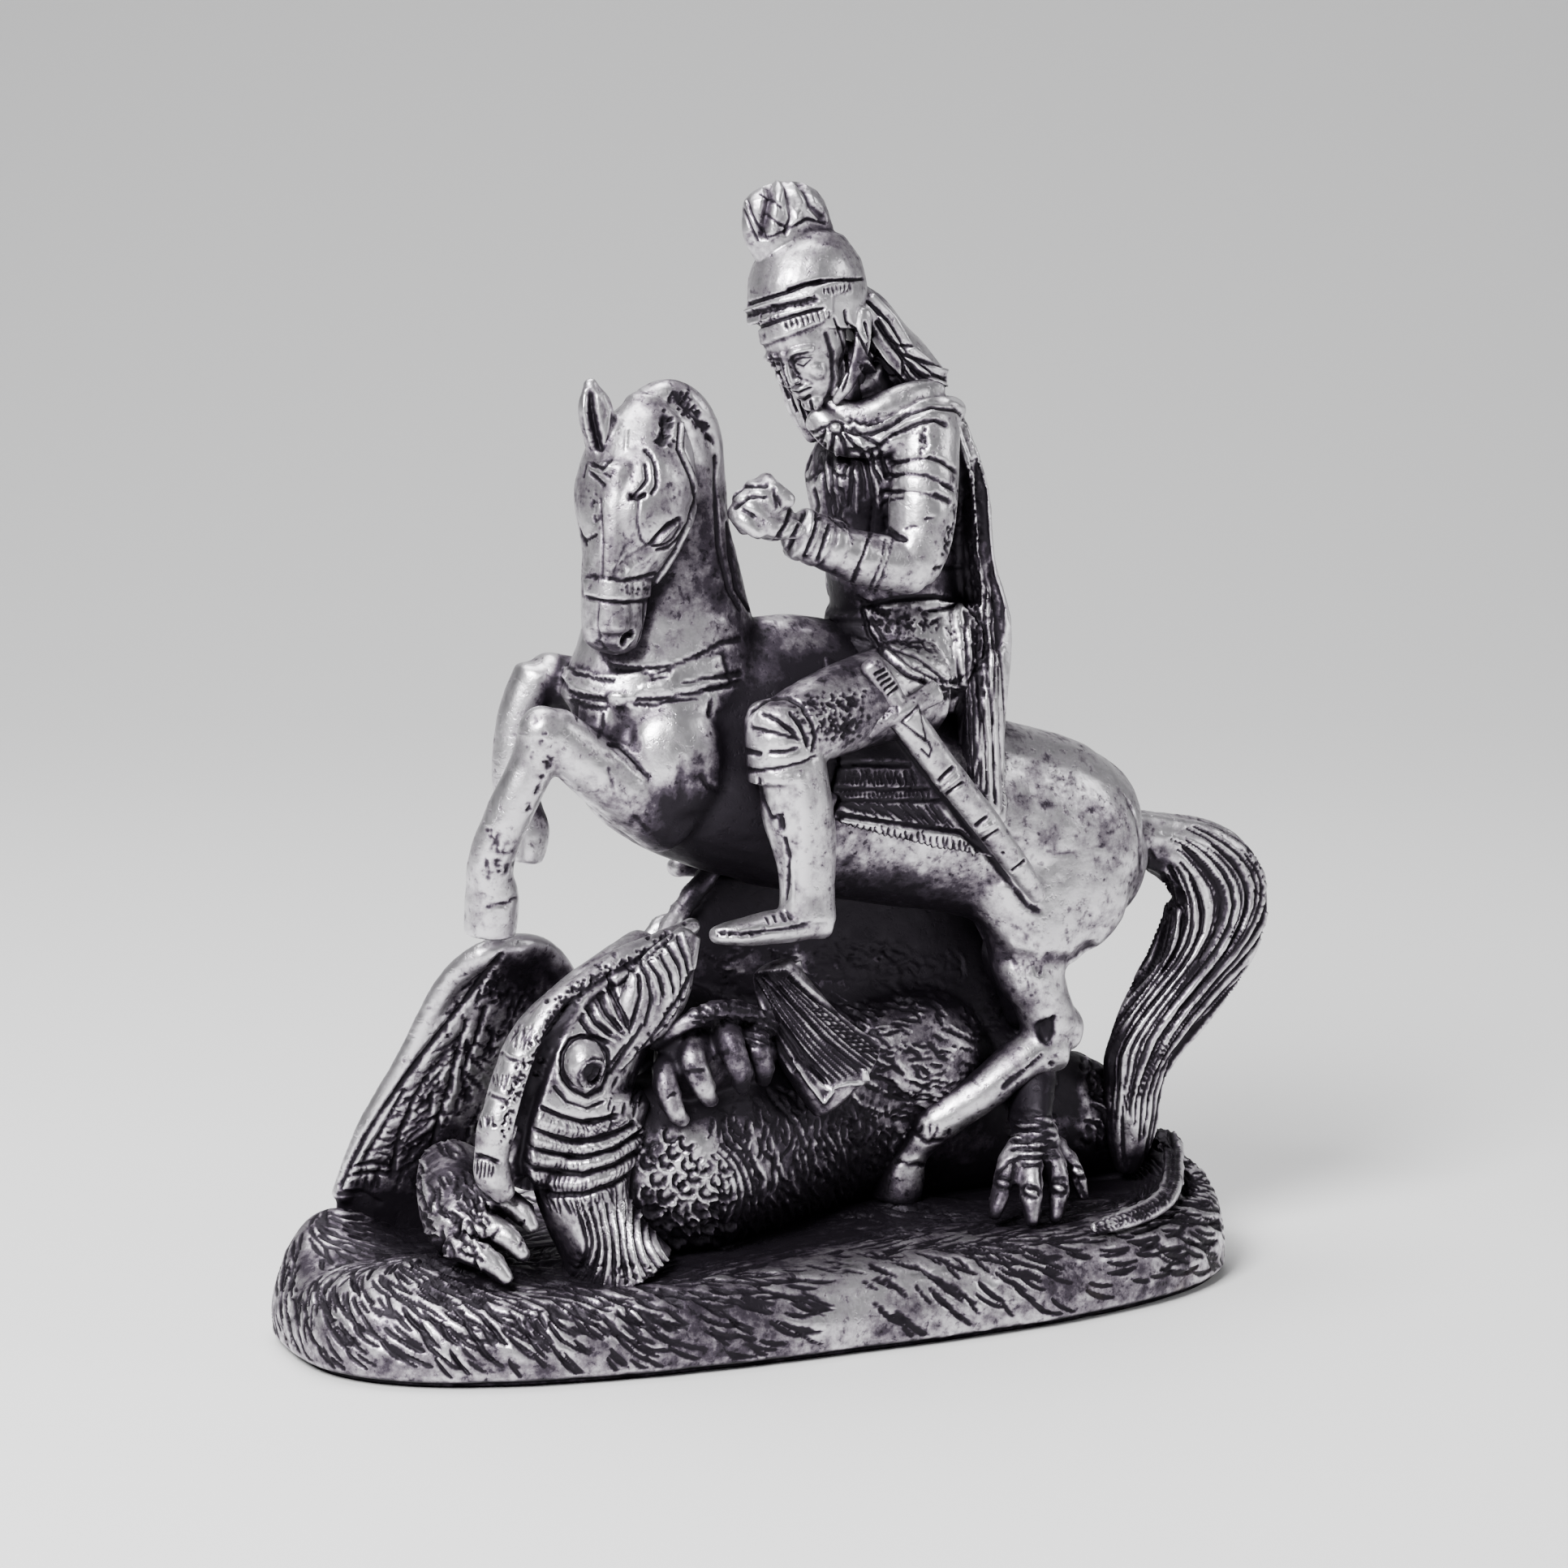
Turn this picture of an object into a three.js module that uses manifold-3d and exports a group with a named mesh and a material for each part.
// A cast statuette in oxidised silver: a rider in helmet and cloak on a rearing horse,
// above a winged dragon that lies on an oval, grass-covered base.
// Millimetres, +Z up. The base's length runs along X and the horse faces -X.
// The near side, with the rider's sword and the dragon's face, is -Y.

import * as THREE from 'three';
import { mergeVertices } from 'three/addons/utils/BufferGeometryUtils.js';
import Module from 'manifold-3d';

const wasm = await Module();
wasm.setup();

// Size of the base
const BASE_HALF_LENGTH = 132.5;
const BASE_HALF_DEPTH = 58.5;
const BASE_SQUARENESS = 2.7;
const BASE_TOP = 22;
const BASE_FACETS = 36;

// How far the saddle cloth and its border stand off the horse, and half the room they are cut from
const SADDLE_CLOTH_THICKNESS = 1.6;
const SADDLE_BORDER_THICKNESS = 2.4;
const SADDLE_HALF_WIDTH = 40;

// Directions in which a limb's half width is measured
const ACROSS = [0, 1, 0];
const ALONG = [1, 0, 0];
const ACROSS_HORSE_FACE = [0.64, -0.77, 0];
const ACROSS_RIDER_FACE = [0.6, -0.8, 0];
const ACROSS_DRAGON_EAR = [0.76, 0, -0.65];

const WELD = 1e-4;
const FACET_TOLERANCE = 0.25;

// How far round its quarter circle the ring of a rounded end stands
const CAP_TURN = Math.PI / 3;

// A closed skin of rings. place(ring, radial, turn) gives the point of one ring;
// radial is 0 at the middle of the two end faces and 1 elsewhere.
function skin(ringCount, around, place) {
  const geometry = new THREE.CylinderGeometry(1, 1, 1, around, ringCount - 1);
  const position = geometry.attributes.position;
  for (let i = 0; i < position.count; i += 1) {
    const ring = Math.round((0.5 - position.getY(i)) * (ringCount - 1));
    const x = position.getX(i);
    const z = position.getZ(i);
    const radial = Math.hypot(x, z) > 0.5 ? 1 : 0;
    const point = place(ring, radial, Math.atan2(z, x));
    position.setXYZ(i, point.x, point.y, point.z);
  }
  return solid(geometry);
}

function solid(geometry) {
  geometry.deleteAttribute('normal');
  geometry.deleteAttribute('uv');
  const merged = mergeVertices(geometry, WELD);
  const mesh = new wasm.Mesh({
    numProp: 3,
    vertProperties: merged.attributes.position.array,
    triVerts: merged.index.array,
  });
  return new wasm.Manifold(mesh);
}

// A body drawn through stations [along, across, up, half width, half thickness].
// The half width lies along `side`, the half thickness at right angles to it, and the
// two ends are rounded over the lengths in `ends`. `folds` gives [count, height] of
// the pleats or locks that run along the body.
function limb(stations, options = {}) {
  const { side = ACROSS, around = 8, between = 1, ends = [2, 2], folds = [0, 0] } = options;
  const capRings = 1;
  const centres = stations.map(([x, y, z]) => new THREE.Vector3(x, y, z));
  const sizes = stations.map(([, , , wide, thick]) => new THREE.Vector3(wide, thick, 0));
  const line = new THREE.CatmullRomCurve3(centres);
  const size = new THREE.CatmullRomCurve3(sizes, false, 'catmullrom', 0.5);
  const bodyRings = between * (stations.length - 1) + 1;
  const ringCount = bodyRings + 2 * capRings;
  const [foldCount, foldHeight] = folds;

  const ringFrame = (ring) => {
    const step = Math.min(Math.max(ring - capRings, 0), bodyRings - 1);
    const beyond = ring - capRings - step;
    const t = step / (bodyRings - 1);
    const run = line.getTangent(t);
    const centre = line.getPoint(t);
    const half = size.getPoint(t);
    const turn = Math.abs(beyond) * CAP_TURN;
    const reach = beyond < 0 ? -ends[0] : ends[1];
    centre.addScaledVector(run, reach * Math.sin(turn));
    half.multiplyScalar(Math.cos(turn));
    const wide = new THREE.Vector3(...side);
    wide.addScaledVector(run, -wide.dot(run)).normalize();
    const thick = new THREE.Vector3().crossVectors(run, wide);
    return { centre, half, wide, thick };
  };

  return skin(ringCount, around, (ring, radial, turn) => {
    const { centre, half, wide, thick } = ringFrame(ring);
    const swell = radial * (1 + foldHeight * Math.cos(foldCount * turn));
    centre.addScaledVector(wide, swell * half.x * Math.cos(turn));
    centre.addScaledVector(thick, swell * half.y * Math.sin(turn));
    return centre;
  });
}

// A plate cut to an outline given as [along, up] and set across the horse.
function curtain(outline, halfWidth) {
  const shape = new THREE.Shape(outline.map(([x, z]) => new THREE.Vector2(x, z)));
  const geometry = new THREE.ExtrudeGeometry(shape, { depth: 2 * halfWidth, bevelEnabled: false });
  geometry.rotateX(Math.PI / 2);
  geometry.translate(0, halfWidth, 0);
  return solid(geometry);
}

function swollen(stations, amount) {
  return stations.map(([x, y, z, wide, thick]) => [x, y, z, wide + amount, thick + amount]);
}

function shifted(stations, [along, across, up]) {
  return stations.map(([x, y, z, wide, thick]) => [x + along, y + across, z + up, wide, thick]);
}

// Base
const baseProfile = [
  [0, 2.5],
  [2.5, 0.4],
  [9, 0],
  [15, 1.6],
  [19, 4.5],
  [21.4, 9],
  [BASE_TOP, 15],
];

const grassMounds = [
  [[-117, 16, 18, 12, 12], [-108, 26, 21, 12, 12], [-96, 30, 21, 12, 11]],
  [[-108, -6, 14, 12, 12], [-96, -22, 16, 12, 11]],
  [[20, -14, 16, 16, 9], [50, -10, 18, 15, 8]],
  [[104, 32, 14, 10, 12], [117, 20, 14, 12, 13], [120, 4, 14, 11, 13], [114, -12, 12, 12, 12.5]],
];

function basePoint(inset, turn, up) {
  const cos = Math.cos(turn);
  const sin = Math.sin(turn);
  const power = 2 / BASE_SQUARENESS;
  const x = (BASE_HALF_LENGTH - inset) * Math.sign(cos) * Math.abs(cos) ** power;
  const y = (BASE_HALF_DEPTH - inset) * Math.sign(sin) * Math.abs(sin) ** power;
  return new THREE.Vector3(x, -y, up);
}

function makeBase() {
  const ground = skin(baseProfile.length, BASE_FACETS, (ring, radial, turn) => {
    const [up, inset] = baseProfile[baseProfile.length - 1 - ring];
    const point = basePoint(inset, turn, up);
    return radial ? point : new THREE.Vector3(0, 0, up);
  });
  return [ground, ...grassMounds.map((mound) => limb(mound, { around: 7 }))];
}

// Dragon
const dragonBody = [
  [-46, -16, 46, 14, 22],
  [-28, -12, 45, 20, 26],
  [0, 0, 50, 22, 30],
  [30, 10, 50, 20, 29],
  [60, 15, 46, 19, 28],
  [84, 16, 40, 18, 21],
  [102, 14, 36, 14, 17],
  [114, 16, 29, 10, 12],
  [125, 19, 25, 6, 7],
];
const dragonHead = [
  [-36, -12, 100, 6, 8],
  [-44, -16, 93, 9, 12],
  [-54, -18, 83, 12, 16],
  [-63, -20, 73, 13, 18],
  [-72, -22, 60, 12, 15],
  [-79, -22, 50, 8, 10],
];
const dragonBrow = [
  [-26, -16, 107, 2.5, 2],
  [-41, -20, 103, 3.6, 3.4],
  [-56, -24, 97, 4.2, 4],
  [-67, -26, 90, 4.8, 4.8],
  [-76, -28, 81, 5, 5],
  [-82, -30, 71, 4.9, 4.9],
  [-86.5, -30, 59, 4.7, 4.7],
  [-85, -30, 47, 4, 4],
];
const dragonThroat = [
  [-56, -19, 66, 14, 16],
  [-58, -20, 55, 14, 14.5],
  [-59.5, -22, 45, 13, 13],
  [-58, -24, 36, 12.5, 11.4],
  [-51.5, -27, 21, 17, 14.6],
];
const dragonEar = [
  [-52, -28, 80, 4, 3],
  [-44, -28, 88, 8, 3],
  [-38, -27, 97, 8.5, 3],
  [-31, -23, 105, 4, 2.5],
];
const wingSheet = [
  [-71, 2, 101, 5, 3.5],
  [-67, 8, 94, 14, 3.5],
  [-66, 13, 80, 22, 4],
  [-72, 19, 62, 24, 4],
  [-80, 24, 45, 24, 4],
  [-84, 28, 30, 25, 4],
  [-84, 29, 22, 25, 4],
];
const wingEdge = [
  [-52, 6, 92, 2.5, 2.5],
  [-58, 5, 99, 2.6, 2.6],
  [-67, 2, 102, 3, 3],
  [-77, 3, 99, 3, 3],
  [-84, 11, 90, 3, 3],
  [-92, 18, 70, 3, 3],
  [-101, 24, 51, 3, 3],
  [-107, 28, 33, 3, 3],
];
const foldedWing = [
  [-4, -18, 94, 6, 6],
  [0, -21, 83, 9, 7],
  [6, -23, 73, 11, 8],
  [14, -24, 64, 13, 8],
];
const frontPaw = [
  [-86, 12, 40, 9, 8],
  [-91, 4, 38, 9, 8.4],
  [-93, -10, 33, 9, 8.7],
  [-91.4, -19, 30.6, 9, 8],
];
const frontClaws = [
  [[-84, -18, 38.6, 3.6, 3.3], [-78, -26, 36.6, 3.4, 3.2], [-76, -30, 31.6, 2, 1.9]],
  [[-90, -21, 34, 3.6, 3.4], [-84, -30, 32, 3.4, 3.3], [-80.4, -35, 26.8, 2, 1.9]],
  [[-94, -25, 29, 3.6, 3.4], [-88.7, -34, 26, 3.4, 3.2], [-84, -38, 21.7, 2, 1.9]],
];
const raisedPaw = [
  [-10, -16, 74, 10, 9],
  [-33, -25, 73, 9, 9],
];
const raisedClaws = [
  [[-36, -24, 74, 3.6, 3.6], [-40, -31, 71, 3.4, 3.4], [-39, -34, 64, 2.8, 2.8], [-36, -33, 60, 2, 2]],
  [[-29, -24, 79, 3.8, 3.8], [-33, -32, 76, 3.6, 3.6], [-31, -34, 69, 3, 3], [-28, -32, 64, 2, 2]],
  [[-20, -23, 82, 3.8, 3.8], [-25, -31, 80, 3.6, 3.6], [-24, -33, 73, 3, 3], [-22, -31, 68, 2, 2]],
];
const frill = [
  [-40, -24, 79, 2.2, 2],
  [-34, -30, 85, 2.6, 2.2],
  [-24, -31, 88, 2.8, 2.4],
  [-12, -28, 84, 2.6, 2.2],
  [-8, -26, 80, 2, 2],
];
const haunch = [
  [30, 0, 66, 12, 13],
  [40, 3, 63, 16, 18],
  [52, 5, 60, 16, 18],
  [62, 8, 56, 12, 13],
];
const hindLeg = [
  [80, 6, 50, 9, 11],
  [76, -4, 54, 8.4, 8],
  [73.9, -12, 53.5, 8, 5.8],
  [70.9, -22, 40, 8, 5.6],
];
const hindToes = [
  [[65.5, -23, 40.8, 4.4, 3.5], [57.3, -29, 32.4, 3.4, 2.8], [53.4, -32, 25, 2, 1.8]],
  [[67.4, -25, 41, 4.4, 3.8], [63.7, -33, 30.5, 3.4, 3], [62.3, -36, 23, 2, 1.8]],
  [[71.8, -24, 40.4, 4.4, 3.6], [72.9, -31, 30, 3.4, 2.8], [70.3, -34, 22.8, 2, 1.8]],
  [[75.7, -22, 39.9, 4, 3], [80.8, -26, 32.3, 2.8, 2.2], [82.3, -27, 26, 1.8, 1.8]],
];
const horn = [
  [-34, -4, 93, 3, 3],
  [-22, 4, 105, 2.6, 2.8],
  [-12, 4, 117, 2.6, 2.8],
];
const dragonEye = [
  [-63, -30, 78, 3.4, 3.4],
  [-63, -33, 78, 3.2, 3.2],
];
const dragonTail = [
  [132, 22, 26, 2.8, 2.8],
  [127, 5, 27.4, 2.8, 2.8],
  [120, -8, 27.4, 2.9, 2.8],
  [112, -22, 26.2, 3, 2.8],
  [103.6, -33.6, 25.2, 3, 2.8],
  [91, -42, 24, 3, 2.7],
  [75.8, -46.5, 22.6, 1.8, 1.8],
];

function makeDragon() {
  return [
    limb(dragonBody, { around: 12, ends: [8, 3] }),
    limb(dragonHead, { around: 12, ends: [3, 4] }),
    limb(dragonBrow, { ends: [1.5, 2.5] }),
    limb(dragonThroat, { around: 10, ends: [5, 0.5] }),
    limb(dragonEar, { side: ACROSS_DRAGON_EAR, ends: [1, 3] }),
    limb(wingSheet, { around: 10, side: ALONG, ends: [2, 0.5] }),
    limb(wingEdge, { around: 5, ends: [1, 1] }),
    limb(foldedWing, { side: ALONG, ends: [2, 2] }),
    limb(frontPaw, { side: ALONG, ends: [3, 5] }),
    limb(raisedPaw, { ends: [3, 5] }),
    limb(frill, { around: 5 }),
    limb(haunch, { around: 9, ends: [8, 8] }),
    limb(hindLeg),
    limb(horn, { around: 6 }),
    limb(dragonEye, { around: 7, side: ALONG }),
    ...frontClaws.map((claw) => limb(claw, { around: 5, ends: [1, 1] })),
    ...raisedClaws.map((claw) => limb(claw, { around: 4, ends: [1, 1] })),
    ...hindToes.map((toe) => limb(toe, { around: 5, ends: [1, 1] })),
    limb(dragonTail, { around: 6, ends: [1, 1.5] }),
  ];
}

// Horse
const horseTorso = [
  [-43, 1, 161, 12, 16],
  [-33, 1, 155, 19, 25],
  [-15, 0, 148, 22, 29],
  [5, 0, 145, 23, 33],
  [34, 0, 135, 22, 30],
  [60, 0, 127, 21, 27],
  [84, 0, 119, 21, 27],
  [99, 0, 111, 18, 22],
  [107, 0, 108, 11, 13],
];
const horseNeck = [
  [-27, -4, 237, 7, 8],
  [-27, -4, 226, 9, 11.5],
  [-26.5, -3, 210, 11, 15.5],
  [-26, -1, 194, 14, 20],
  [-26, 0, 179, 17, 24],
  [-27, 0, 164, 20, 28],
];
const horseCrest = [
  [-34, -5, 241.5, 5, 3.4],
  [-28, -5, 243, 5.5, 4],
  [-21.6, -5, 239.8, 5.5, 4.2],
  [-17, -4, 233, 5, 4],
  [-13.2, -1, 214, 4, 3.4],
  [-8.3, 0, 187, 4, 3],
];
const horseHead = [
  [-33.5, -5.5, 238, 8.5, 8.5],
  [-35.9, -7, 228.8, 14, 12.5],
  [-38.3, -9, 220, 15.8, 14.5],
  [-40.1, -11, 212, 14.6, 15],
  [-45.4, -13, 197, 8.4, 11],
  [-47.7, -15, 183.6, 7.4, 8],
];
const horseEar = [
  [-47.2, -8, 226, 4, 3.2],
  [-48.2, -8, 236, 3.9, 4.4],
  [-50, -8, 245.5, 2, 2],
];
const nearForearm = [
  [-29.4, -9, 135.1, 11, 10.8],
  [-42.2, -13, 143, 9.5, 9.6],
  [-54.3, -14, 151.4, 8, 8],
  [-64, -14, 160, 7, 6.8],
];
const nearShank = [
  [-65.6, -14, 160, 7, 6.6],
  [-68.7, -13, 151, 6.2, 6],
  [-74, -11, 139.4, 5.9, 6],
  [-77.6, -8, 127, 5.9, 6.1],
  [-77, -5, 117, 6.8, 7],
  [-77, -4, 106.9, 7, 6.8],
];
const farForearm = [
  [-37.6, 12, 156.5, 10, 10.5],
  [-46.9, 14, 165.3, 8, 8.4],
  [-55.2, 14, 169.6, 7, 6.6],
];
const farShank = [
  [-57, 14, 169.5, 7, 6.4],
  [-61, 14, 161, 6, 6],
  [-63, 14, 148, 5.9, 5.9],
  [-61.4, 14, 135, 5.8, 5.8],
  [-60.5, 13, 128.4, 6.4, 6.3],
  [-61.5, 13, 121.7, 6, 5.2],
];
const nearThigh = [
  [86, -8, 120, 13, 22],
  [80, -9, 108, 13, 20.6],
  [75.7, -10, 95, 12, 15.6],
  [73.6, -11.5, 86, 9.5, 10.4],
  [76.3, -12, 78.8, 8.5, 7.8],
  [79.8, -12, 69.5, 8, 8],
];
const nearHindShank = [
  [81, -12, 66, 7.5, 7.8],
  [70, -12, 60.8, 6.8, 6.2],
  [59.6, -11, 53.5, 6.2, 5.6],
  [47.4, -7, 45.4, 6.6, 6],
  [43, -5, 39.4, 5.8, 5],
  [39.5, -3, 31.4, 7.4, 6.7],
  [38.1, -3, 24, 7.6, 6.6],
];
const flank = [
  [66.4, -9, 112, 12, 12.9],
  [71.5, -10, 102, 12, 13],
  [73.5, -11, 93, 11, 11.6],
];
const breast = [
  [-36, -5, 158, 10, 13],
  [-49, -5, 161, 9.5, 11],
];
const FAR_HIND_SHIFT = [10, 22, -3];
const FAR_THIGH_SHIFT = [4, 20, 0];
const horseTail = [
  [99, 0, 116, 5, 7],
  [108.4, 0, 116.5, 5, 8],
  [117.4, 0, 115, 6.5, 8.1],
  [126.9, 0, 111, 8, 10.6],
  [134.1, 0, 105.3, 9, 13.1],
  [136.7, 0, 98.9, 9.5, 14.7],
  [135.3, 0, 90.7, 9.5, 15],
  [130.2, 0, 81, 9, 14],
  [122.5, 0, 70, 8.5, 12.4],
  [113.6, 0, 57, 7.8, 10],
  [111.4, 0, 45, 7, 7.8],
  [111, 0, 36.7, 6, 6.2],
  [111, 0, 26, 3, 2.6],
];
const saddleClothOutline = [
  [10, 190],
  [10, 131],
  [54, 119],
  [62, 128],
  [62, 190],
];
const saddleBorderOutline = [
  [11, 139],
  [11, 132.5],
  [54, 120.5],
  [54, 127],
];

// Each leg is an upper part and a shank that runs on into the hoof.
function horseLeg(upper, shank) {
  return [
    limb(upper, { ends: [3, 4] }),
    limb(shank, { around: 7, ends: [3, 0.6] }),
  ];
}

function makeHorse() {
  const cloth = limb(swollen(horseTorso, SADDLE_CLOTH_THICKNESS), { around: 14 });
  const border = limb(swollen(horseTorso, SADDLE_BORDER_THICKNESS), { around: 14 });
  return [
    limb(horseTorso, { around: 14, ends: [3, 4] }),
    limb(breast, { ends: [6, 4] }),
    limb(flank, { ends: [6, 3] }),
    limb(horseNeck, { around: 12, ends: [4, 8] }),
    limb(horseCrest, { around: 6, ends: [2, 2] }),
    limb(horseHead, { around: 12, side: ACROSS_HORSE_FACE, ends: [4, 5] }),
    limb(horseEar, { side: ACROSS_HORSE_FACE, ends: [1, 1] }),
    ...horseLeg(nearForearm, nearShank),
    ...horseLeg(farForearm, farShank),
    ...horseLeg(nearThigh, nearHindShank),
    ...horseLeg(shifted(nearThigh, FAR_THIGH_SHIFT), shifted(nearHindShank, FAR_HIND_SHIFT)),
    limb(horseTail, { around: 12, ends: [2, 2], folds: [4, 0.1] }),
    cloth.intersect(curtain(saddleClothOutline, SADDLE_HALF_WIDTH)),
    border.intersect(curtain(saddleBorderOutline, SADDLE_HALF_WIDTH)),
  ];
}

// Rider
const riderTorso = [
  [44, 0, 166, 20, 20],
  [40, 0, 180, 17, 18.5],
  [38.5, 0, 192, 16, 18],
  [37, 0, 209, 18.5, 20.5],
  [35.5, 0, 222, 21, 21],
  [33.5, 0, 231, 19, 16],
  [29, -2, 238, 10, 10],
];
const riderNeck = [
  [34, -2, 231, 9, 9.5],
  [24, -5, 246, 8.5, 8.5],
];
const riderHead = [
  [11.4, -11.5, 240.7, 4.6, 4.8],
  [10.3, -10.7, 246.2, 8, 9],
  [9, -9.6, 253, 10.6, 12],
  [8, -9, 261, 11.5, 13],
];
const riderHelmet = [
  [11.3, -4, 260, 15, 16.5],
  [11.9, -4, 269.5, 15, 16.6],
  [12.8, -4, 276.7, 13, 13.5],
  [13.5, -4, 281.9, 9, 8],
];
const plumeStem = [
  [7, -4, 278, 6, 9],
  [3, -4, 285, 6, 9.5],
  [1, -4, 291, 5.5, 7.5],
];
const plumeCurl = [
  [3, -4, 291, 5, 5],
  [10, -4, 289, 5, 6],
  [14, -4, 282, 4, 5],
];
const neckGuard = [
  [24, -3, 265, 9, 5.5],
  [28.5, -3, 261.2, 10, 6.2],
  [33, -3, 254, 11, 7.4],
  [38.7, -4, 247.4, 11, 8],
  [45.3, -5, 241.8, 10, 6.3],
];
const farHair = [
  [2, 2, 257, 4, 4],
  [3, 2, 248, 4.4, 4.2],
  [7, 2, 239, 4.6, 4.4],
  [13, 1, 233, 5, 5],
];
const nearUpperArm = [
  [38, -20, 232, 8, 9],
  [36, -23, 218, 8.5, 9],
  [34, -25, 206, 8, 8.6],
  [31, -26, 199, 7.5, 8],
];
const nearForearmOfRider = [
  [31, -26, 198, 7, 7.2],
  [17, -26, 201, 7, 7],
  [6, -26, 205, 6, 6],
  [-2, -26, 209, 5.2, 5.4],
  [-10, -26, 214.5, 6.5, 7],
  [-16, -26, 218, 5.5, 6],
];
const farUpperArm = [
  [40, 20, 230, 8, 9],
  [40, 23, 212, 8, 8.5],
  [38, 24, 197, 7, 7.5],
];
const farForearmOfRider = [
  [38, 23, 196, 6.5, 6.5],
  [33, 17, 191, 6, 6],
  [30, 11, 188, 5.5, 6],
];
const cloak = [
  [50, 1, 233, 17, 5],
  [54, 1, 216, 21, 6],
  [56, 1, 197, 21, 6],
  [60, 1, 181, 22, 7],
  [59, 1, 162, 21, 8],
  [57, 1, 148, 20, 6],
];
const nearCloakFall = [
  [54, -14, 184, 7, 4.5],
  [54.6, -19, 170, 8, 4.4],
  [54.1, -21, 149, 6, 4],
  [55.7, -21, 131.6, 5, 3.2],
];
const skirt = [
  [37, 0, 188, 15, 18],
  [40, 0, 178, 18.5, 22],
  [42.5, 0, 168, 20.5, 23.4],
  [43.5, 0, 158, 20, 20],
];
const collarFolds = [
  [
    [13, -9, 236, 5, 4],
    [17, -14, 231, 5, 5],
    [28, -20, 231, 5, 4.5],
    [42, -19, 236, 5, 4],
    [50, -8, 236, 5, 4],
  ],
  [
    [15, -8, 240, 4, 3.5],
    [21, -14, 236, 4, 4],
    [32, -17, 240, 4, 4],
    [44, -12, 242, 4, 3.5],
  ],
];
const nearThighOfRider = [
  [39, -14, 165, 12, 13],
  [19, -21, 163, 11, 12],
  [3, -27, 160, 10, 11],
  [-6, -29, 157, 9, 10],
];
const nearShin = [
  [-5, -29, 156, 9, 9],
  [-4, -30, 146, 8.8, 9],
  [-2.5, -30, 137, 8.8, 9.4],
  [-0.5, -30, 127, 7.4, 8.2],
  [0, -30, 118, 6.6, 7.4],
  [-0.5, -31, 109, 6.4, 7.6],
];
const nearFoot = [
  [4, -31, 108, 5, 4],
  [-9, -31, 108, 5.4, 4.4],
  [-21, -32, 107.5, 5, 3.2],
  [-26, -32, 107.5, 3.6, 2.4],
];
const kneeCap = [
  [-6.5, -29, 163.5, 8.6, 8.8],
  [-6.7, -29, 157, 9.6, 9.8],
  [-6, -29, 147, 9.8, 9.9],
];
const farThighOfRider = [
  [39, 14, 165, 12, 13],
  [20, 21, 163, 11, 12],
  [8, 27, 158, 9, 10],
];
const farShin = [
  [8, 28, 157, 8.5, 9],
  [7, 29, 141, 8, 8.5],
  [6, 29, 127, 6.4, 6.8],
  [5, 29, 117, 5.5, 6],
];
const farFoot = [
  [8, 29, 115, 5, 4],
  [-4, 29, 114, 5, 4],
  [-12, 29, 113, 3.6, 2.6],
];
const grip = [
  [18.3, -29, 173.6, 3, 3.5],
  [25.2, -29.5, 163, 3, 3.1],
];
const crossguard = [
  [16.7, -29, 157.1, 3, 3.1],
  [21.8, -30, 159.8, 3, 2.6],
  [29.8, -30.5, 163.1, 3, 2.6],
  [36.5, -29.5, 165.7, 3, 3.3],
];
const scabbard = [
  [26.8, -30, 160.5, 3, 4.6],
  [38.5, -29.5, 145.8, 3, 4.2],
  [52, -28.5, 129.7, 3, 3.9],
  [69.2, -24, 108.6, 2, 2.4],
];

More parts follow.
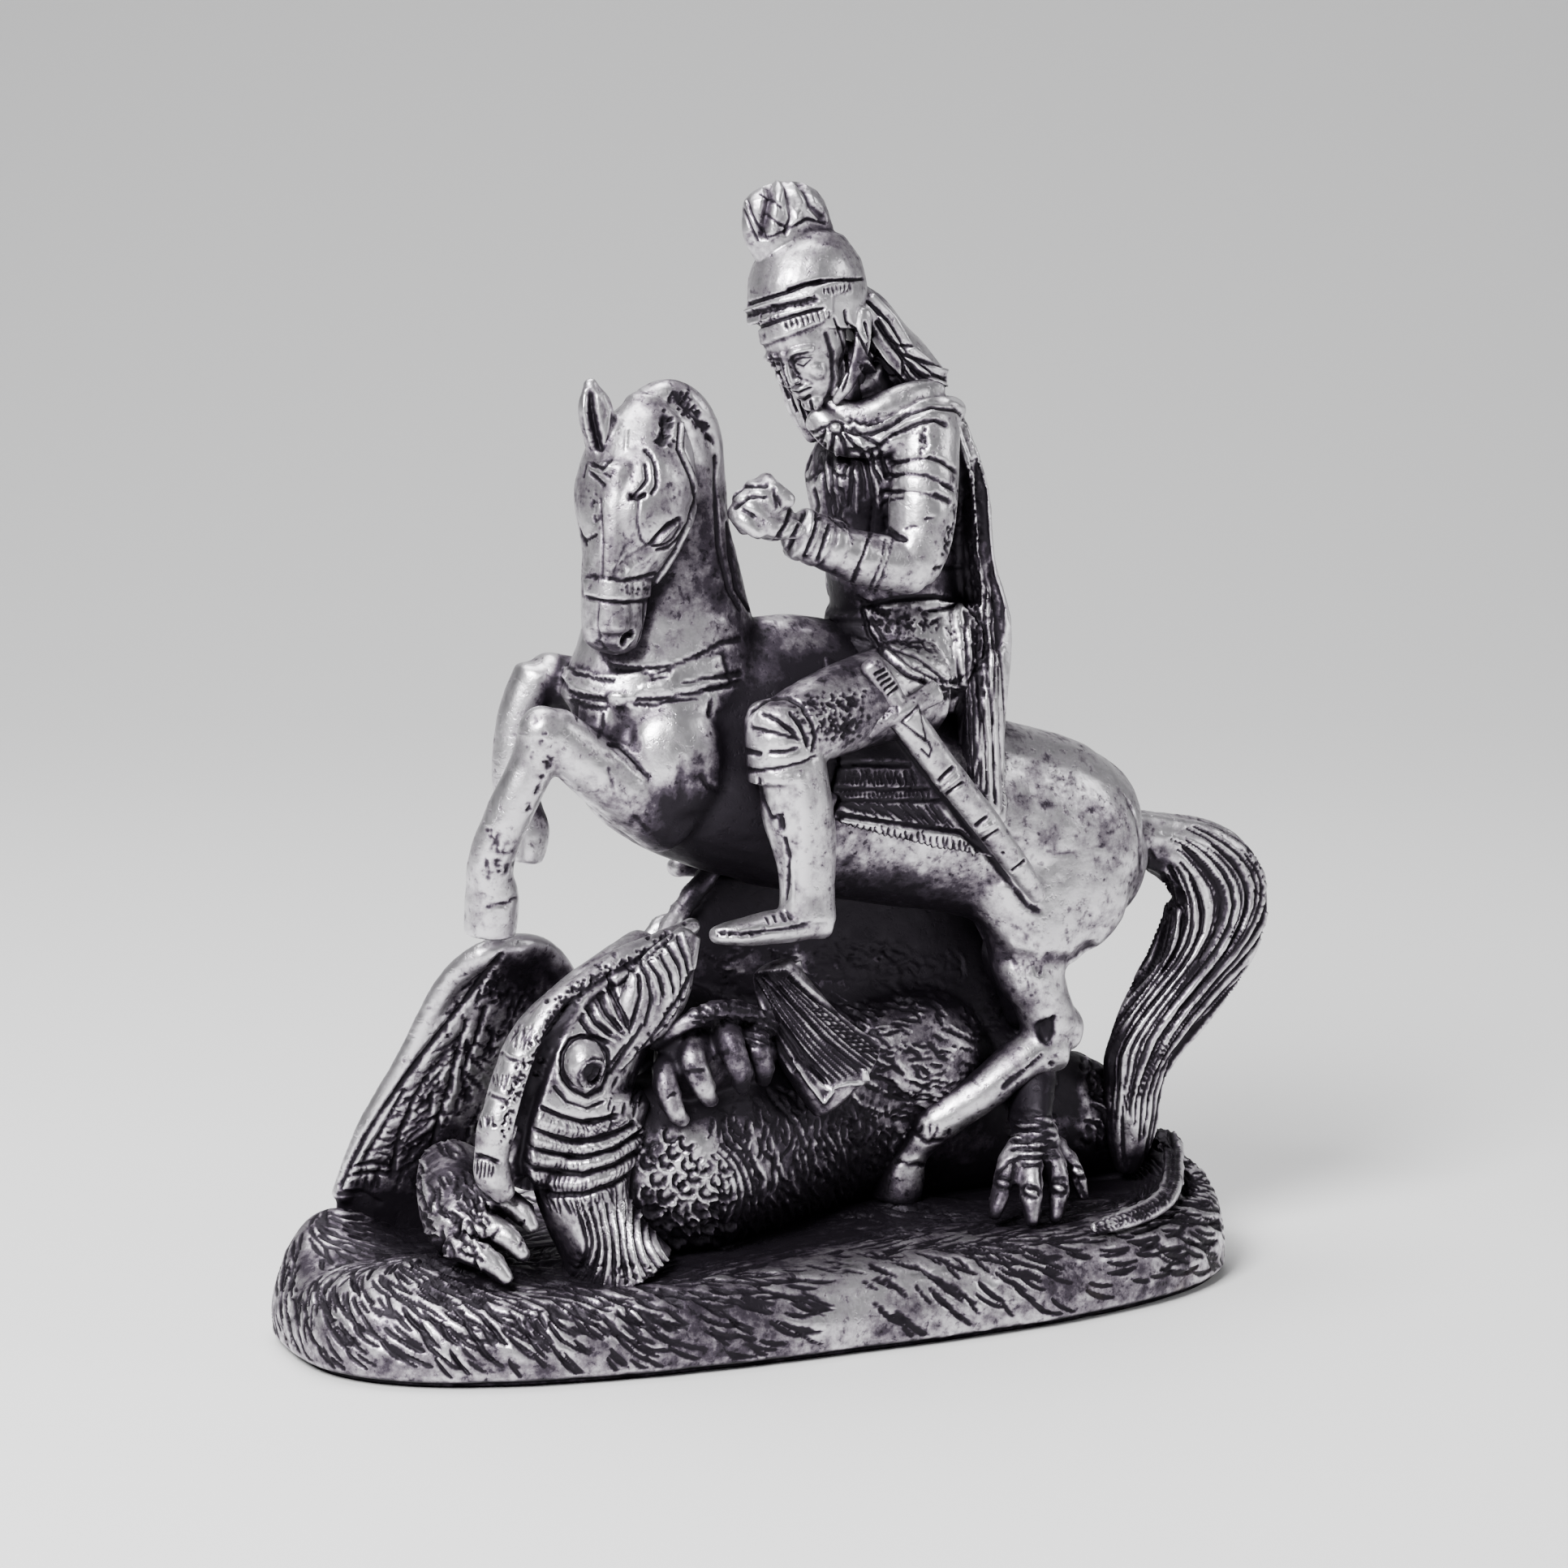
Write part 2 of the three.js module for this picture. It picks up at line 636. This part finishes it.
function makeRider() {
  return [
    limb(riderTorso, { around: 12, ends: [4, 2] }),
    limb(riderNeck),
    limb(riderHead, { around: 10, side: ACROSS_RIDER_FACE, ends: [3, 2] }),
    limb(riderHelmet, { around: 14, side: ACROSS_RIDER_FACE, ends: [1, 2] }),
    limb(plumeStem, { around: 9, ends: [1, 5], folds: [3, 0.08] }),
    limb(plumeCurl, { around: 7, ends: [2, 3] }),
    limb(neckGuard, { around: 10, ends: [3, 3], folds: [5, 0.08] }),
    limb(farHair),
    limb(nearUpperArm, { ends: [8, 6] }),
    limb(nearForearmOfRider, { ends: [5, 4] }),
    limb(farUpperArm, { around: 6, ends: [8, 5] }),
    limb(farForearmOfRider, { around: 6, ends: [4, 4] }),
    limb(cloak, { around: 16, ends: [4, 2], folds: [5, 0.09] }),
    limb(nearCloakFall, { around: 12, side: ALONG, ends: [2, 2], folds: [4, 0.14] }),
    limb(skirt, { around: 14, ends: [2, 2] }),
    ...collarFolds.map((fold) => limb(fold, { around: 6 })),
    limb(nearThighOfRider, { around: 10, ends: [3, 4] }),
    limb(kneeCap, { around: 10, ends: [3, 2] }),
    limb(nearShin, { ends: [3, 1] }),
    limb(nearFoot, { ends: [2, 2] }),
    limb(farThighOfRider, { around: 7, ends: [3, 4] }),
    limb(farShin, { around: 6, ends: [3, 1] }),
    limb(farFoot, { around: 6, ends: [2, 2] }),
    limb(grip, { around: 6, ends: [3, 1] }),
    limb(crossguard, { around: 6, ends: [1.5, 1.5] }),
    limb(scabbard, { around: 6, ends: [1, 1.5] }),
  ];
}

// The wing and back that carry the horse's belly
const bellyCarrier = [
  [20, 12, 60, 62, 10],
  [24, 11, 80, 59, 9],
  [28, 10, 95, 51, 8],
  [30, 9, 110, 42, 7],
];

const everything = [
  ...makeBase(),
  ...makeDragon(),
  ...makeHorse(),
  ...makeRider(),
  limb(bellyCarrier, { side: ALONG, around: 10, ends: [1, 1] }),
];

// Joined, cut flat underneath and set so that its bounding box is centred above the origin.
const joined = wasm.Manifold.union(everything).trimByPlane([0, 0, 1], 0);
const eased = joined.asOriginal().simplify(FACET_TOLERANCE);
const { min, max } = eased.boundingBox();
const centreAlong = (min[0] + max[0]) / 2;
const centreAcross = (min[1] + max[1]) / 2;
const body = eased.translate([-centreAlong, -centreAcross, 0]);

const silver = new THREE.MeshStandardMaterial({ color: '#8b878c', roughness: 0.36, metalness: 1 });

function meshOf(manifold, name, material) {
  const { vertProperties, triVerts } = manifold.getMesh();
  const geometry = new THREE.BufferGeometry();
  geometry.setAttribute('position', new THREE.BufferAttribute(vertProperties, 3));
  geometry.setIndex(new THREE.BufferAttribute(triVerts, 1));
  geometry.computeVertexNormals();
  const mesh = new THREE.Mesh(geometry, material);
  mesh.name = name;
  return mesh;
}

const group = new THREE.Group();
group.name = 'equestrian_statuette';
group.add(meshOf(body, 'statuette', silver));

export default group;
